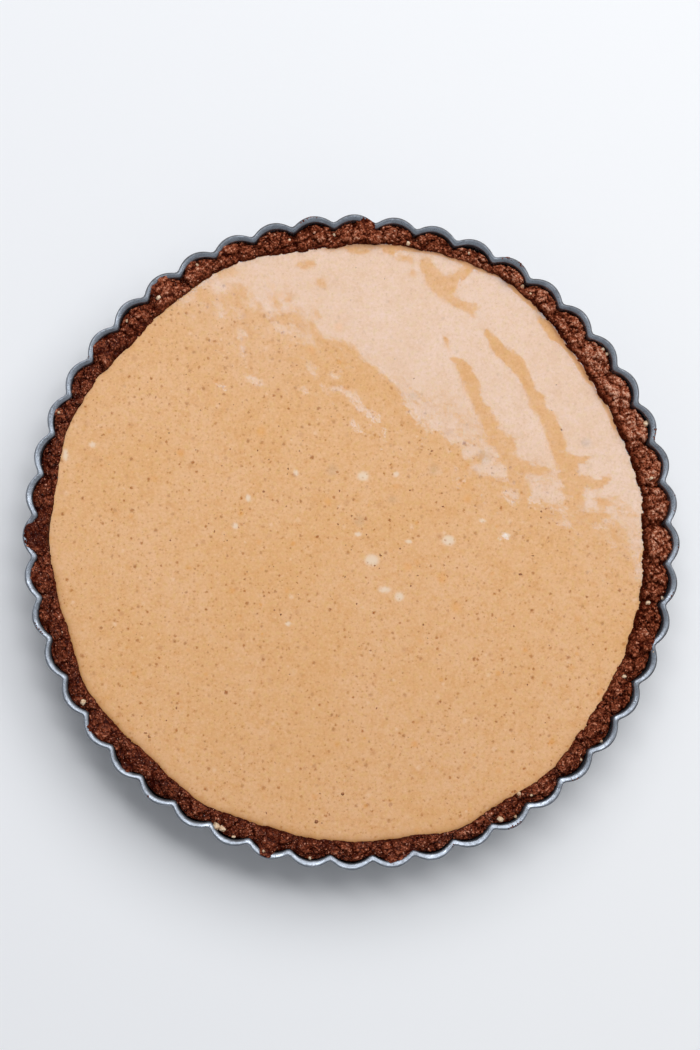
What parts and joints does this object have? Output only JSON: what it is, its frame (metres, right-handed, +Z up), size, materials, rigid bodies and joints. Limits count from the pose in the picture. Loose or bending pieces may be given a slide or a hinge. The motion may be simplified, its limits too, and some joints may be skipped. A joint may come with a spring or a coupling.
{
  "type": "peanut butter pie",
  "caption": "Round pie in its fluted metal tin: a smooth peanut filling in a pressed dark crumb crust with a craggy rim.",
  "frame": {"origin": "the middle of the tin's flat base", "axes": "+Z up out of the pie, +X and +Y in the plane of its base"},
  "size_m": [0.24, 0.24, 0.0262],
  "materials": {
    "tin": "dark slate-blue non-stick coating on pressed steel, semi-gloss, lightly scratched and worn on the lip",
    "crust": "food: dark chocolate crumbs pressed together, rough and slightly moist, with small pale nut bits",
    "filling": "food: smooth glossy peanut cream with fine brown specks"
  },
  "bodies": {
    "root": {"fluted_tin": "tin", "crumb_crust": "crust", "peanut_filling": "filling"}
  },
  "joints": []
}
